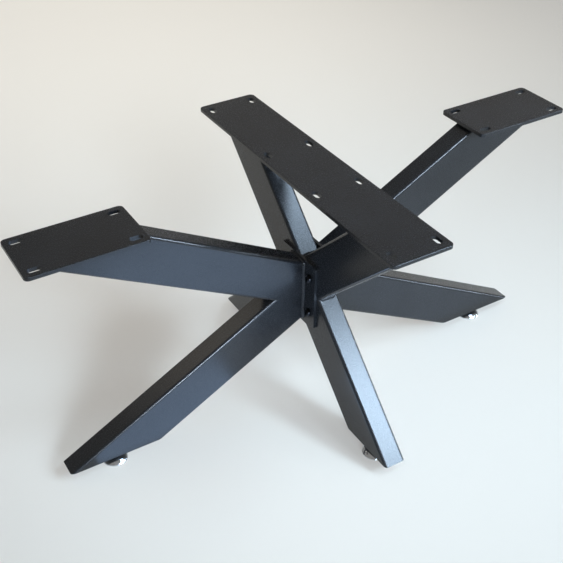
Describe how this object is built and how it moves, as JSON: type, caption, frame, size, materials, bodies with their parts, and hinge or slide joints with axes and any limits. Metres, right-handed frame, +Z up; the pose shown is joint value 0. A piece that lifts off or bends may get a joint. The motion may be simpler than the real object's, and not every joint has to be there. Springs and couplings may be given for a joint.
{
  "type": "table base",
  "caption": "Star-shaped coffee-table base of black rectangular steel tube: an X frame and two bolted V frames with slotted top plates and levelling feet.",
  "frame": {"origin": "on the floor under the hub, at the centre of the base", "axes": "+X along the side arms, +Y along the centre plate to the back, +Z up"},
  "size_m": [1, 0.58, 0.453],
  "materials": {
    "black_powder_coat": "satin black powder coat with a fine grain",
    "black_oxide_steel": "black oxide",
    "plain_steel": "bare steel",
    "bright_zinc": "bright zinc plate"
  },
  "bodies": {
    "frame": {"long_diagonal_tube": "black_powder_coat", "front_upper_arm_tube": "black_powder_coat", "back_lower_leg_tube": "black_powder_coat", "centre_top_plate": "black_powder_coat", "left_upper_arm_tube": "black_powder_coat", "left_lower_leg_tube": "black_powder_coat", "left_top_plate": "black_powder_coat", "left_hub_flange": "black_powder_coat", "right_upper_arm_tube": "black_powder_coat", "right_lower_leg_tube": "black_powder_coat", "right_top_plate": "black_powder_coat", "right_hub_flange": "black_powder_coat", "left_foot_plate": "black_powder_coat", "right_foot_plate": "black_powder_coat", "front_foot_plate": "black_powder_coat", "back_foot_plate": "black_powder_coat", "left_flange_bolts": "black_oxide_steel", "right_flange_bolts": "black_oxide_steel", "left_flange_washers": "black_oxide_steel", "right_flange_washers": "black_oxide_steel", "hub_threaded_sleeves": "plain_steel", "left_foot_nut": "plain_steel", "right_foot_nut": "plain_steel", "front_foot_nut": "plain_steel", "back_foot_nut": "plain_steel"},
    "left_foot": {"left_foot_stud": "bright_zinc", "left_foot_base": "bright_zinc"},
    "right_foot": {"right_foot_stud": "bright_zinc", "right_foot_base": "bright_zinc"},
    "front_foot": {"front_foot_stud": "bright_zinc", "front_foot_base": "bright_zinc"},
    "back_foot": {"back_foot_stud": "bright_zinc", "back_foot_base": "bright_zinc"}
  },
  "joints": [
    {"name": "left_foot_height", "type": "slide", "parent": "frame", "child": "left_foot", "axis": [0, 0, -1], "range_m": [-0.005, 0.01]},
    {"name": "right_foot_height", "type": "slide", "parent": "frame", "child": "right_foot", "axis": [0, 0, -1], "range_m": [-0.005, 0.01]},
    {"name": "front_foot_height", "type": "slide", "parent": "frame", "child": "front_foot", "axis": [0, 0, -1], "range_m": [-0.005, 0.01]},
    {"name": "back_foot_height", "type": "slide", "parent": "frame", "child": "back_foot", "axis": [0, 0, -1], "range_m": [-0.005, 0.01]}
  ]
}
